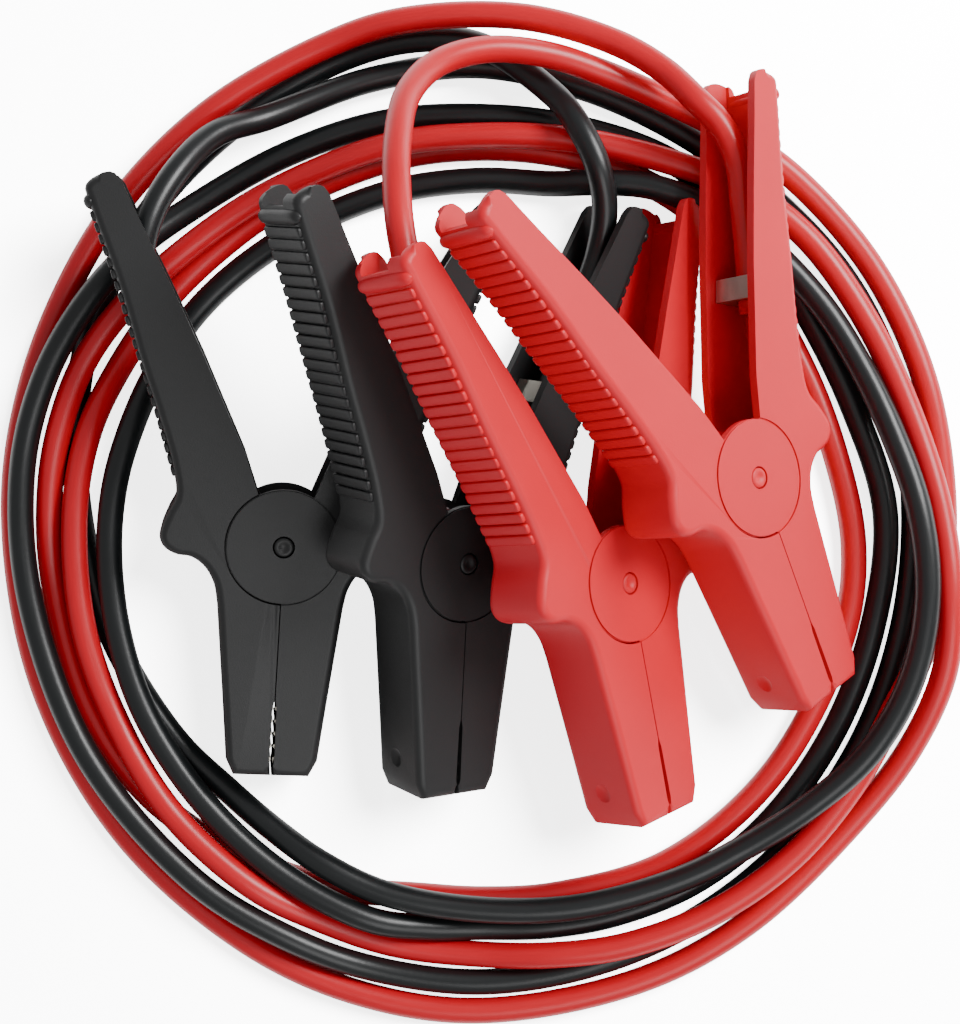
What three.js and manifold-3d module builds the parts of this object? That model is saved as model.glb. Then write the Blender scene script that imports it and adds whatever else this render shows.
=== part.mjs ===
// A pair of coiled battery leads, one black and one red, with a sprung clamp on each end
import * as THREE from "three";
import * as BufferGeometryUtils from "three/examples/jsm/utils/BufferGeometryUtils.js";
import Module from "manifold-3d";

const wasm = await Module();
wasm.setup();

// Clamp sizes, in millimetres, in the clamp's own frame: pivot on local Z, handles toward +Y
const thickness = 19.5;
const wall = 2.4;
const fit = 0.3;
const discRadius = 15;
const innerEarRadius = 13;
const webRadius = 17.6;
const pinRadius = 2.6;
const pinProud = 0.6;
const toothDepth = 1.3;
const plateBack = 3.4;
const wireRadius = 0.8;
const coilRadius = 4.4;
const coilTurns = 3.5;
const coilPitch = 1.9;
const springLegReach = 24;
const handleAngle = 28.4;

// Cable sizes
const cableDiameter = 7;
const cableSides = 8;
const cableSteps = 96;
const ringHalfWidth = 128.5;
const ringHalfHeight = 137.4;

// How far the middle of the clamps lies from the middle of the ring
const clampMiddle = [-1.1, 15.3];

// Heights of the layers through the clamp, measured from its middle plane
const face = thickness / 2;
const earFace = face - wall;
const innerEarFace = earFace - fit;
const innerEarBack = innerEarFace - wall;

// Outline of the left half, from the split at the jaw tip round the outside to the pivot
const jawOutside = [
  [-10.0, -61.5], [-12.1, -57.2], [-13.7, -41.7], [-16.5, -15.7], [-17.6, -10.6], [-20.2, -6.3], [-23.8, -3.9],
];
const lobe = [[-27.7, -3.4], [-31.0, -1.5], [-32.2, 1.5], [-30.5, 7.4], [-28.5, 12.2]];
const handleOutside = [[-29.8, 20.0], [-34.0, 32.7], [-38.8, 45.5], [-45.3, 64.6], [-54.6, 86.7]];
const handleInside = [[-46.9, 92.0], [-40.7, 81.4], [-32.3, 66.0], [-23.4, 49.1], [-18.8, 39.5], [-11.2, 23.8], [-7.4, 13.6]];
const splitHalf = fit / 2;
const slotHalf = 0.9;
const slotTop = -41;
const slotBottom = -58;
const jawEdge = [
  [-splitHalf, 0], [-splitHalf, slotTop], [-slotHalf, slotTop], [-slotHalf, slotBottom], [-splitHalf, slotBottom],
  [-splitHalf, -61.5],
];
const outline = [...jawOutside, ...lobe, ...handleOutside, ...handleInside, ...jawEdge];

// The hollow inside one half, open toward the other half and at the handle's end
const hollow = [
  [-7.4, -58.5], [-9.5, -55.5], [-10.9, -41.4], [-13.7, -15.4], [-14.6, -9.6], [-18.0, -4.2], [-23.0, -1.4],
  [-27.0, -0.9], [-29.4, 1.2], [-28.0, 7.0], [-26.0, 12.0], [-27.4, 20.5], [-31.7, 33.5], [-36.5, 46.3], [-43.1, 65.4],
  [-56.0, 96.2], [-40.0, 110.0], [20.0, 40.0], [20.0, -58.5],
];

// Helpers that turn shapes into solids and back
function solidFrom(geometry) {
  const plain = geometry.clone();
  plain.deleteAttribute("normal");
  plain.deleteAttribute("uv");
  const merged = BufferGeometryUtils.mergeVertices(plain, 1e-4);
  return new wasm.Manifold(new wasm.Mesh({
    numProp: 3,
    vertProperties: new Float32Array(merged.attributes.position.array),
    triVerts: new Uint32Array(merged.index.array),
  }));
}

function geometryFrom(solid) {
  const mesh = solid.getMesh();
  const geometry = new THREE.BufferGeometry();
  geometry.setAttribute("position", new THREE.BufferAttribute(new Float32Array(mesh.vertProperties), 3));
  geometry.setIndex(new THREE.BufferAttribute(new Uint32Array(mesh.triVerts), 1));
  geometry.computeVertexNormals();
  return geometry;
}

function slab(points, low, high) {
  const shape = new THREE.Shape(points.map(([x, y]) => new THREE.Vector2(x, y)));
  const geometry = new THREE.ExtrudeGeometry(shape, { depth: high - low, bevelEnabled: false });
  geometry.translate(0, 0, low);
  return solidFrom(geometry);
}

function round(radius, low, high, sides = 32) {
  const geometry = new THREE.CylinderGeometry(radius, radius, high - low, sides);
  geometry.rotateX(Math.PI / 2);
  geometry.translate(0, 0, (low + high) / 2);
  return solidFrom(geometry);
}

function mirrored(points) {
  return points.map(([x, y]) => [-x, y]).reverse();
}

// A point in a handle: how far along from the pivot, how far outward, how high
function inHandle(side, along, outward, height = 0) {
  const turn = THREE.MathUtils.degToRad(handleAngle);
  const x = along * Math.sin(turn) + outward * Math.cos(turn);
  const y = along * Math.cos(turn) - outward * Math.sin(turn);
  return new THREE.Vector3(side * x, y, height);
}

// One moulded half: side -1 is the left one, whose ears go inside the right one's discs
function half(side) {
  const shape = side < 0 ? outline : mirrored(outline);
  const inside = side < 0 ? hollow : mirrored(hollow);
  let body = slab(shape, -face, face);
  body = body.subtract(slab(inside, -earFace, earFace));
  if (side > 0) {
    body = body.add(round(discRadius, earFace, face)).add(round(discRadius, -face, -earFace));
    body = body.subtract(round(webRadius + fit, -earFace, earFace));
  } else {
    const web = slab(shape, innerEarBack, face).intersect(round(webRadius, innerEarBack, face));
    const ear = round(innerEarRadius, innerEarBack, innerEarFace).add(web);
    body = body.add(ear).add(ear.mirror([0, 0, 1]));
    body = body.subtract(round(discRadius + 0.4, innerEarFace, face + 1));
    body = body.subtract(round(discRadius + 0.4, -face - 1, -innerEarFace));
  }
  body = body.subtract(round(pinRadius + fit, -face - 1, face + 1, 24));
  return geometryFrom(body);
}

// The rivet through both halves
function pin() {
  const end = face + pinProud;
  const profile = [[0, -end], [pinRadius - 0.5, -end], [pinRadius, -end + 0.5], [pinRadius, end - 0.5],
    [pinRadius - 0.5, end], [0, end]];
  const geometry = new THREE.LatheGeometry(profile.map(([r, z]) => new THREE.Vector2(r, z)), 24);
  geometry.rotateX(Math.PI / 2);
  return geometryFrom(solidFrom(geometry));
}

// The torsion spring: a coil round the rivet with a leg up each handle
function spring() {
  const turnTotal = coilTurns * 2 * Math.PI;
  const points = [];
  const startAngle = Math.PI / 2 + THREE.MathUtils.degToRad(62);
  const top = coilTurns * coilPitch / 2;
  const first = new THREE.Vector3(coilRadius * Math.cos(startAngle), coilRadius * Math.sin(startAngle), -top);
  const last = new THREE.Vector3(coilRadius * Math.cos(startAngle + turnTotal), coilRadius * Math.sin(startAngle + turnTotal), top);
  const tangent = (p, sign) => new THREE.Vector3(-p.y, p.x, 0).normalize().multiplyScalar(sign);
  points.push(first.clone().addScaledVector(tangent(first, -1), springLegReach));
  points.push(first.clone().addScaledVector(tangent(first, -1), springLegReach / 2));
  for (let i = 0; i <= coilTurns * 8; i += 1) {
    const share = i / (coilTurns * 8);
    const angle = startAngle + share * turnTotal;
    points.push(new THREE.Vector3(coilRadius * Math.cos(angle), coilRadius * Math.sin(angle), -top + share * 2 * top));
  }
  points.push(last.clone().addScaledVector(tangent(last, 1), springLegReach / 2));
  points.push(last.clone().addScaledVector(tangent(last, 1), springLegReach));
  return rod(points, wireRadius, 5, 60);
}

// A round bar of even steps along a smooth path
function rod(points, radius, sides, steps) {
  const path = new THREE.CatmullRomCurve3(points, false, "centripetal");
  path.arcLengthDivisions = 4000;
  const corners = [];
  for (let i = 0; i < sides; i += 1) {
    const angle = (i + 0.5) / sides * 2 * Math.PI;
    corners.push(new THREE.Vector2(radius * Math.cos(angle), radius * Math.sin(angle)));
  }
  return new THREE.ExtrudeGeometry(new THREE.Shape(corners), { steps, bevelEnabled: false, extrudePath: path });
}

// A metal jaw plate: flat back in the cover, teeth toward the split
function jawPlate(side) {
  const edge = [[-plateBack, -18.4], [-plateBack, -58.2], [-0.4, -58.2]];
  const pitch = 3.4;
  for (let y = slotBottom; y < slotTop - 0.1; y += pitch) {
    edge.push([-0.25, y + 0.6], [-0.25, y + 1.1], [-0.25 - toothDepth, y + pitch * 0.6], [-0.25 - toothDepth, y + pitch * 0.75]);
  }
  edge.push([-0.4, slotTop + 0.6], [-1.2, -38], [-1.2, -18.4]);
  const shape = side < 0 ? edge.reverse() : mirrored(edge);
  return geometryFrom(slab(shape, -innerEarFace, innerEarFace));
}

// The saddle that ties the cable down in the handle
const saddleAlong = 50;
const saddleLength = 6;
const cableOutward = (along) => 7.2 - 0.1276 * (along - 44);

function saddle(side) {
  const cable = cableOutward(saddleAlong);
  const half = cableDiameter / 2 + fit;
  let block = solidFrom(new THREE.BoxGeometry(cable + 3.6 - 0.8, saddleLength, innerEarFace * 2)
    .translate((cable + 3.6 + 0.8) / 2, saddleAlong, 0));
  const bore = new THREE.CylinderGeometry(half, half, 30, 24).translate(0, 0, 0)
    .rotateZ(Math.atan(0.1276)).translate(cable, saddleAlong, 0);
  block = block.subtract(solidFrom(bore));
  block = block.subtract(solidFrom(new THREE.BoxGeometry(20, 30, half * 2).translate(cable + 10, saddleAlong, 0)));
  const turned = new THREE.Matrix4().makeRotationZ(-THREE.MathUtils.degToRad(handleAngle));
  let geometry = geometryFrom(block);
  geometry.applyMatrix4(turned);
  if (side < 0) {
    geometry = geometryFrom(solidFrom(geometry).mirror([1, 0, 0]));
  }
  return geometry;
}

// Where each clamp lies: pivot, then turn about Z, lift of the handles, lift of the left side
const clamps = {
  black_1: { at: [-52.4, -8, 18.5], turn: -4, lift: 7, roll: 8, cableSide: -1 },
  black_2: { at: [-8.5, -12, 27.9], turn: -2.9, lift: 8.1, roll: 36.3, cableSide: 1 },
  red_1: { at: [31.5, -18.5, 34.2], turn: 10.7, lift: 6.7, roll: 42.7, cableSide: -1 },
  red_2: { at: [64.6, 8.2, 35.5], turn: 21.4, lift: 13, roll: 36.6, cableSide: 1 },
};

function place(item, clamp) {
  const rad = THREE.MathUtils.degToRad;
  item.rotation.set(rad(clamp.lift), rad(clamp.roll), rad(clamp.turn), "ZXY");
  item.position.set(...clamp.at);
  item.updateMatrixWorld(true);
  return item;
}

// Looks
const looks = {
  blackPlastic: { color: 0x2b2b2d, roughness: 0.55 },
  redPlastic: { color: 0xd8232f, roughness: 0.5 },
  steel: { color: 0xb9bcc0, roughness: 0.35, metalness: 0.9 },
  blackCable: { color: 0x1c2022, roughness: 0.45 },
  redCable: { color: 0xc81f2c, roughness: 0.42 },
};

function piece(name, geometry, look) {
  const mesh = new THREE.Mesh(geometry, new THREE.MeshStandardMaterial(looks[look]));
  mesh.name = name;
  return mesh;
}

const model = new THREE.Group();
model.name = "jumper_cable";
for (const [name, clamp] of Object.entries(clamps)) {
  const plastic = name.startsWith("black") ? "blackPlastic" : "redPlastic";
  const group = new THREE.Group();
  group.add(piece(`${name}_left_half`, half(-1), plastic));
  group.add(piece(`${name}_right_half`, half(1), plastic));
  group.add(piece(`${name}_pin`, pin(), "steel"));
  group.add(piece(`${name}_spring`, spring(), "steel"));
  group.add(piece(`${name}_left_jaw`, jawPlate(-1), "steel"));
  group.add(piece(`${name}_right_jaw`, jawPlate(1), "steel"));
  group.add(piece(`${name}_saddle`, saddle(clamp.cableSide), "steel"));
  model.add(place(group, clamp));
}

// Cable routes: an angle clockwise from the top of the ring, a share of its size, and a height
function onRing([angle, share, height]) {
  const a = THREE.MathUtils.degToRad(angle);
  return new THREE.Vector3(ringHalfWidth * share * Math.sin(a), ringHalfHeight * share * Math.cos(a), height);
}

function fromHandle(name, rows) {
  const clamp = clamps[name];
  const frame = place(new THREE.Group(), clamp);
  return rows.map(([along, outward, height]) => inHandle(clamp.cableSide, along, outward, height)
    .applyMatrix4(frame.matrixWorld));
}

const free = (rows) => rows.map((row) => new THREE.Vector3(...row));
const blackTurns = [
  [330, 0.893, 11.5], [345, 0.89, 4.5], [360, 0.888, 3.95], [375, 0.872, 3.95], [390, 0.868, 3.95],
  [405, 0.88, 3.95], [420, 0.905, 3.95], [435, 0.92, 3.95], [450, 0.923, 3.95], [465, 0.928, 3.95],
  [480, 0.933, 3.95], [495, 0.934, 3.95], [510, 0.932, 3.95], [525, 0.931, 3.95], [540, 0.935, 3.95],
  [555, 0.935, 5], [567, 0.932, 9.5], [580, 0.94, 11.2], [600, 0.953, 11], [620, 0.96, 11],
  [635, 0.961, 12.6], [646, 0.944, 14.8], [656, 0.918, 14.4], [665, 0.89, 11.8], [675, 0.856, 6.5],
  [690, 0.822, 3.95], [705, 0.802, 3.95], [720, 0.787, 3.95], [735, 0.792, 3.95], [750, 0.808, 3.95],
  [765, 0.81, 3.95], [780, 0.8, 3.95], [795, 0.82, 3.95], [810, 0.862, 3.95], [825, 0.866, 3.95],
  [840, 0.87, 3.95], [855, 0.872, 3.95], [868, 0.866, 3.95], [880, 0.85, 3.95], [890, 0.836, 3.95],
  [900, 0.826, 3.95], [908, 0.829, 7], [916, 0.833, 10.8], [930, 0.823, 11.3], [945, 0.813, 11],
  [960, 0.806, 11.4], [972, 0.795, 11.4], [984, 0.782, 11.2], [994, 0.768, 11.2], [1003, 0.752, 9.6],
  [1012, 0.74, 6], [1023, 0.724, 3.95], [1035, 0.698, 3.95], [1050, 0.674, 3.95], [1065, 0.663, 3.95],
  [1080, 0.66, 3.95], [1093, 0.668, 5.8], [1101, 0.694, 9.7], [1109, 0.731, 11.2], [1118, 0.762, 11.7],
  [1128, 0.792, 11.6], [1140, 0.822, 11.6], [1150, 0.845, 12.5], [1160, 0.872, 15.5], [1170, 0.908, 18.8],
  [1180, 0.938, 19.6], [1190, 0.948, 19.4], [1200, 0.93, 18.8], [1210, 0.892, 15.8], [1220, 0.858, 12.5],
  [1230, 0.833, 11.4], [1245, 0.802, 11.3], [1260, 0.78, 11.2], [1275, 0.774, 11.4], [1286, 0.766, 10.6],
  [1295, 0.764, 7], [1304, 0.77, 4], [1315, 0.79, 3.95], [1332, 0.82, 3.95], [1346, 0.844, 3.95],
  [1360, 0.875, 3.95], [1374, 0.905, 3.95], [1390, 0.922, 3.95], [1405, 0.93, 3.95], [1420, 0.946, 4],
  [1431, 0.942, 8.5], [1440, 0.915, 11.6],
];
const redTurns = [
  [24, 0.893, 13.5], [34, 0.907, 11.6], [45, 0.935, 8], [60, 0.966, 3.95], [75, 0.982, 3.95],
  [90, 0.987, 4.2], [99, 0.978, 7], [107, 0.968, 10.5], [114, 0.952, 11.4], [124, 0.948, 11.4],
  [136, 0.942, 11.3], [148, 0.926, 11.3], [160, 0.905, 10.8], [170, 0.886, 9.2], [180, 0.878, 5],
  [192, 0.879, 3.95], [203, 0.875, 6.5], [213, 0.876, 11.2], [228, 0.876, 11.2], [242, 0.869, 9.5],
  [255, 0.862, 11.3], [270, 0.85, 11.3], [281, 0.836, 10.4], [291, 0.817, 4.5], [302, 0.79, 3.95],
  [312, 0.766, 3.95], [325, 0.744, 3.95], [345, 0.727, 3.95], [360, 0.724, 3.95], [375, 0.732, 3.95],
  [390, 0.746, 3.95], [405, 0.749, 3.95], [425, 0.742, 3.95], [440, 0.762, 3.95], [455, 0.798, 3.95],
  [468, 0.81, 3.95], [490, 0.811, 3.95], [510, 0.803, 3.95], [528, 0.778, 3.95], [540, 0.77, 3.95],
  [550, 0.774, 3.95], [560, 0.8, 3.95], [570, 0.832, 3.95], [582, 0.872, 3.95], [593, 0.905, 3.95],
  [606, 0.92, 3.95], [622, 0.918, 3.9], [632, 0.909, 8.2], [640, 0.898, 11], [649, 0.882, 11.3],
  [658, 0.85, 11], [670, 0.803, 11], [685, 0.765, 11], [705, 0.744, 11.2], [720, 0.738, 11.2],
  [735, 0.756, 11.2], [750, 0.794, 11.2], [762, 0.842, 11.3], [772, 0.872, 11.2], [785, 0.893, 11.2],
  [798, 0.922, 11.4], [810, 0.96, 14], [820, 0.992, 16.5], [828, 1.018, 14], [837, 1.02, 8.5],
  [847, 1.006, 4.2], [865, 0.996, 3.95], [880, 0.992, 3.95], [900, 0.992, 3.95], [915, 0.991, 3.95],
  [930, 0.988, 3.95], [950, 0.99, 3.95], [970, 0.992, 3.95], [990, 0.992, 3.95], [1005, 0.988, 3.95],
  [1020, 0.982, 4.5], [1032, 0.974, 8.5], [1045, 0.968, 11.3], [1060, 0.967, 13], [1070, 0.967, 17],
  [1085, 0.96, 19.5], [1097, 0.945, 21.5], [1104, 0.925, 24],
];
const blackRoute = [
  ...fromHandle("black_1", [[44, 7.2, 0], [60, 5.2, 0], [74, 3.4, 0], [83, 1.0, 0], [91, -5, -1]]),
  ...free([[-79, 88.5, 29], [-70, 100, 20.5]]),
  ...blackTurns.map(onRing),
  ...free([[19.5, 112, 14.5], [26, 102.5, 20], [31, 92, 20.5], [33.3, 81.5, 16.5]]),
  ...fromHandle("black_2", [[92, 1.1, 0], [76, 3.1, 0], [60, 5.2, 0], [44, 7.2, 0]]),
];
const redRoute = [
  ...fromHandle("red_1", [[44, 7.2, 0], [60, 5.2, 0], [74, 3.4, 0], [84, 1.4, 0]]),
  ...free([[-15.5, 53, 74], [-18.5, 65, 73], [-20, 79, 67.5], [-20, 92, 59.5], [-18, 104, 50], [-11, 114, 40]]),
  ...free([[2, 120, 30.5], [18, 120.5, 22.5], [33, 117, 17]]),
  ...redTurns.map(onRing),
  ...fromHandle("red_2", [[99, -8.5, -5.5], [93, -3.6, -2], [84, 1.0, 0], [72, 3.4, 0], [60, 5.2, 0], [44, 7.2, 0]]),
];
model.add(piece("black_cable", rod(blackRoute, cableDiameter / 2, cableSides, cableSteps), "blackCable"));
model.add(piece("red_cable", rod(redRoute, cableDiameter / 2, cableSides, cableSteps), "redCable"));

for (const child of model.children) {
  child.position.x -= clampMiddle[0];
  child.position.y -= clampMiddle[1];
}

export default model;
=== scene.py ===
"""Battery jump leads: a coil of one black and one red cable with a sprung clamp on each of the four ends."""

import math

import bmesh
import bpy
from mathutils import Matrix, Vector


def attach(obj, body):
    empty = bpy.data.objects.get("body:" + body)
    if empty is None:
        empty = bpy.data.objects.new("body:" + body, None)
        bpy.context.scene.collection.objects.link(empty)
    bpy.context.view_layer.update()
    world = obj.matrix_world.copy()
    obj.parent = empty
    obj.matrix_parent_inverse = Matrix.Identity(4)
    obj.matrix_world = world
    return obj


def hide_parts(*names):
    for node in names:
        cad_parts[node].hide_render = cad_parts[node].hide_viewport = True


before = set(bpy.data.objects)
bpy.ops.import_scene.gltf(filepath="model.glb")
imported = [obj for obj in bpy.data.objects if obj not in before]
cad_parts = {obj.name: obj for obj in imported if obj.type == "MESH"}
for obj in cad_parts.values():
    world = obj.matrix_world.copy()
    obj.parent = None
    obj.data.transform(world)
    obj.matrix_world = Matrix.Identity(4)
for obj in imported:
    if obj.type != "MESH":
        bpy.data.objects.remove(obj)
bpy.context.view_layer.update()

bl_info = {
    "name": "Battery Jump Leads",
    "version": (1, 0, 0),
    "blender": (4, 5, 0),
    "location": "View3D > Sidebar > Jump Leads",
    "description": "Builds a coiled pair of battery jump leads with ribbed spring clamps",
    "category": "Add Mesh",
}

MM = 0.001
ROOT = "coil_and_fixed_halves"

# Sizes of the clamp in millimetres, in its own frame: pivot on local Z, handles toward +Y
THICKNESS = 19.5
WALL = 2.4
FIT = 0.3
DISC_RADIUS = 15.0
INNER_EAR_RADIUS = 13.0
WEB_RADIUS = 17.6
PIN_RADIUS = 2.6
FACE = THICKNESS / 2
EAR_FACE = FACE - WALL
INNER_EAR_FACE = EAR_FACE - FIT
INNER_EAR_BACK = INNER_EAR_FACE - WALL
HANDLE_ANGLE = math.radians(28.4)
JAW_TIP = -60.0
OUTLINE_STEP = 1.2

# Relief of a half: groove round the disc, gap beside it, dimple near the jaw tip, scoop in the handle tip
GROOVE_DEPTH = 0.55
GROOVE_OUTSIDE = 0.35
GROOVE_INSIDE = 0.25
DISC_GAP = 0.4
DIMPLE_RADIUS = 4.4
DIMPLE_OUT = 16.15
DIMPLE_DOWN = -52.6
DIMPLE_HEIGHT = -1.0
SCOOP_PLACE = (106.2, 4.2)
SCOOP_RADIUS = 3.6
SCOOP_HEIGHTS = (-6.4, 3.4)

# Grip ribs: places on the line that they follow, as (along, outward), and their size
RIB_LINE = ((30, 17.15), (38, 15.75), (45, 14.45), (58, 12.5), (70, 10.75), (80, 9.2), (90, 7.95), (97, 7.2))
RIB_SHARE = 0.9
RIB_HEIGHT = 1.5
RIB_MARGIN = 1.5

# Spring wire and rivet
WIRE_RADIUS = 0.8
RIVET_STANDS = 0.05
RIVET_SIDES = 40

# Steps along the cable and the wire, the cable's sides and the length of one UV unit, in metres
CABLE_STEP = 0.0022
WIRE_STEP = 0.0007
CABLE_SIDES = 20
UV_LENGTH = 0.1

# Camera straight above the ring, and the height of its view at the floor, in metres
CAMERA_HEIGHT = 0.520
VIEW_HEIGHT = 0.282112
FLOOR_GAP = 0.0002

# The middle of the clamps, seen from the middle of the ring
CLAMP_MIDDLE = (-1.1, 15.3)
RING_HALF_WIDTH = 128.5
RING_HALF_HEIGHT = 137.4

# Place, turn about Z, lift of the handles, lift of the left side, side of the cable, free side
CLAMPS = {
    "black_1": ((-52.4, -8, 18.5), -4, 7, 8, -1, 1),
    "black_2": ((-8.5, -12, 27.9), -2.9, 8.1, 36.3, 1, -1),
    "red_1": ((31.5, -18.5, 34.2), 10.7, 6.7, 42.7, -1, 0),
    "red_2": ((64.6, 8.2, 35.5), 21.4, 13, 36.6, 1, -1),
}


def clamp_matrix(name):
    """From a clamp's own frame in millimetres to the whole set's frame in metres."""
    at, turn, lift, roll = CLAMPS[name][:4]
    rotation = (Matrix.Rotation(math.radians(turn), 4, "Z") @ Matrix.Rotation(math.radians(lift), 4, "X")
                @ Matrix.Rotation(math.radians(roll), 4, "Y"))
    middle = Vector((at[0] - CLAMP_MIDDLE[0], at[1] - CLAMP_MIDDLE[1], at[2]))
    return Matrix.Scale(MM, 4) @ Matrix.Translation(middle) @ rotation


def body_of_half(name, side):
    """The CAD body that a half rides on."""
    return f"{name}_free_half" if CLAMPS[name][5] == side else ROOT


def in_handle(side, along, outward, height=0.0):
    """A point in a handle: how far along from the pivot, how far outward, how high."""
    x = along * math.sin(HANDLE_ANGLE) + outward * math.cos(HANDLE_ANGLE)
    y = along * math.cos(HANDLE_ANGLE) - outward * math.sin(HANDLE_ANGLE)
    return Vector((side * x, y, height))


# Cable routes: angle clockwise from the top of the ring, share of its size, height of the centre in mm
BLACK_TURNS = [
    (330, 0.893, 11.5), (345, 0.89, 4.5), (360, 0.888, 3.95), (375, 0.872, 3.95), (390, 0.868, 3.95),
    (405, 0.88, 3.95), (420, 0.905, 3.95), (435, 0.92, 3.95), (450, 0.923, 3.95), (465, 0.928, 3.95),
    (480, 0.933, 3.95), (495, 0.934, 3.95), (510, 0.932, 3.95), (525, 0.931, 3.95), (540, 0.935, 3.95),
    (555, 0.935, 5), (567, 0.932, 9.5), (580, 0.94, 11.2), (600, 0.953, 11), (620, 0.96, 11),
    (635, 0.961, 12.6), (646, 0.944, 14.8), (656, 0.918, 14.4), (665, 0.89, 11.8), (675, 0.856, 6.5),
    (690, 0.822, 3.95), (705, 0.802, 3.95), (720, 0.787, 3.95), (735, 0.792, 3.95), (750, 0.808, 3.95),
    (765, 0.81, 3.95), (780, 0.8, 3.95), (795, 0.82, 3.95), (810, 0.862, 3.95), (825, 0.866, 3.95),
    (840, 0.87, 3.95), (855, 0.872, 3.95), (868, 0.866, 3.95), (880, 0.85, 3.95), (890, 0.836, 3.95),
    (900, 0.826, 3.95), (908, 0.829, 7), (916, 0.833, 10.8), (930, 0.823, 11.3), (945, 0.813, 11),
    (960, 0.806, 11.4), (972, 0.795, 11.4), (984, 0.782, 11.2), (994, 0.768, 11.2), (1003, 0.752, 9.6),
    (1012, 0.74, 6), (1023, 0.724, 3.95), (1035, 0.698, 3.95), (1050, 0.674, 3.95), (1065, 0.663, 3.95),
    (1080, 0.66, 3.95), (1093, 0.668, 5.8), (1101, 0.694, 9.7), (1109, 0.731, 11.2), (1118, 0.762, 11.7),
    (1128, 0.792, 11.6), (1140, 0.822, 11.6), (1150, 0.845, 12.5), (1160, 0.872, 15.5), (1170, 0.908, 18.8),
    (1180, 0.938, 19.6), (1190, 0.948, 19.4), (1200, 0.93, 18.8), (1210, 0.892, 15.8), (1220, 0.858, 12.5),
    (1230, 0.833, 11.4), (1245, 0.802, 11.3), (1260, 0.78, 11.2), (1275, 0.774, 11.4), (1286, 0.766, 10.6),
    (1295, 0.764, 7), (1304, 0.77, 4), (1315, 0.79, 3.95), (1332, 0.82, 3.95), (1346, 0.844, 3.95),
    (1360, 0.875, 3.95), (1374, 0.905, 3.95), (1390, 0.922, 3.95), (1405, 0.93, 3.95), (1420, 0.946, 4),
    (1431, 0.942, 8.5), (1440, 0.915, 11.6),
]
RED_TURNS = [
    (24, 0.893, 13.5), (34, 0.907, 11.6), (45, 0.935, 8), (60, 0.966, 3.95), (75, 0.982, 3.95),
    (90, 0.987, 4.2), (99, 0.978, 7), (107, 0.968, 10.5), (114, 0.952, 11.4), (124, 0.948, 11.4),
    (136, 0.942, 11.3), (148, 0.926, 11.3), (160, 0.905, 10.8), (170, 0.886, 9.2), (180, 0.878, 5),
    (192, 0.879, 3.95), (203, 0.875, 6.5), (213, 0.876, 11.2), (228, 0.876, 11.2), (242, 0.869, 9.5),
    (255, 0.862, 11.3), (270, 0.85, 11.3), (281, 0.836, 10.4), (291, 0.817, 4.5), (302, 0.79, 3.95),
    (312, 0.766, 3.95), (325, 0.744, 3.95), (345, 0.727, 3.95), (360, 0.724, 3.95), (375, 0.732, 3.95),
    (390, 0.746, 3.95), (405, 0.749, 3.95), (425, 0.742, 3.95), (440, 0.762, 3.95), (455, 0.798, 3.95),
    (468, 0.81, 3.95), (490, 0.811, 3.95), (510, 0.803, 3.95), (528, 0.778, 3.95), (540, 0.77, 3.95),
    (550, 0.774, 3.95), (560, 0.8, 3.95), (570, 0.832, 3.95), (582, 0.872, 3.95), (593, 0.905, 3.95),
    (606, 0.92, 3.95), (622, 0.918, 3.9), (632, 0.909, 8.2), (640, 0.898, 11), (649, 0.882, 11.3),
    (658, 0.85, 11), (670, 0.803, 11), (685, 0.765, 11), (705, 0.744, 11.2), (720, 0.738, 11.2),
    (735, 0.756, 11.2), (750, 0.794, 11.2), (762, 0.842, 11.3), (772, 0.872, 11.2), (785, 0.893, 11.2),
    (798, 0.922, 11.4), (810, 0.96, 14), (820, 0.992, 16.5), (828, 1.018, 14), (837, 1.02, 8.5),
    (847, 1.006, 4.2), (865, 0.996, 3.95), (880, 0.992, 3.95), (900, 0.992, 3.95), (915, 0.991, 3.95),
    (930, 0.988, 3.95), (950, 0.99, 3.95), (970, 0.992, 3.95), (990, 0.992, 3.95), (1005, 0.988, 3.95),
    (1020, 0.982, 4.5), (1032, 0.974, 8.5), (1045, 0.968, 11.3), (1060, 0.967, 13), (1070, 0.967, 17),
    (1085, 0.96, 19.5), (1097, 0.945, 21.5), (1104, 0.925, 24),
]
# The ends in their handles, as (along, outward, height), and the free stretches as places in mm
BLACK_START = [(44, 7.2, 0), (60, 5.2, 0), (74, 3.4, 0), (83, 1.0, 0), (91, -5, -1)]
BLACK_RISE = [(-79, 88.5, 29), (-70, 100, 20.5)]
BLACK_FALL = [(19.5, 112, 14.5), (26, 102.5, 20), (31, 92, 20.5), (33.3, 81.5, 16.5)]
BLACK_END = [(92, 1.1, 0), (76, 3.1, 0), (60, 5.2, 0), (44, 7.2, 0)]
RED_START = [(44, 7.2, 0), (60, 5.2, 0), (74, 3.4, 0), (84, 1.4, 0)]
RED_ARCH = [(-15.5, 53, 74), (-18.5, 65, 73), (-20, 79, 67.5), (-20, 92, 59.5), (-18, 104, 50),
            (-11, 114, 40), (2, 120, 30.5), (18, 120.5, 22.5), (33, 117, 17)]
RED_END = [(99, -8.5, -5.5), (93, -3.6, -2), (84, 1.0, 0), (72, 3.4, 0), (60, 5.2, 0), (44, 7.2, 0)]


def on_ring(row):
    """A row of the turns as a point in the whole set's frame, in metres."""
    angle, share, height = row
    a = math.radians(angle)
    x = RING_HALF_WIDTH * share * math.sin(a) - CLAMP_MIDDLE[0]
    y = RING_HALF_HEIGHT * share * math.cos(a) - CLAMP_MIDDLE[1]
    return Vector((x, y, height)) * MM


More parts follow.
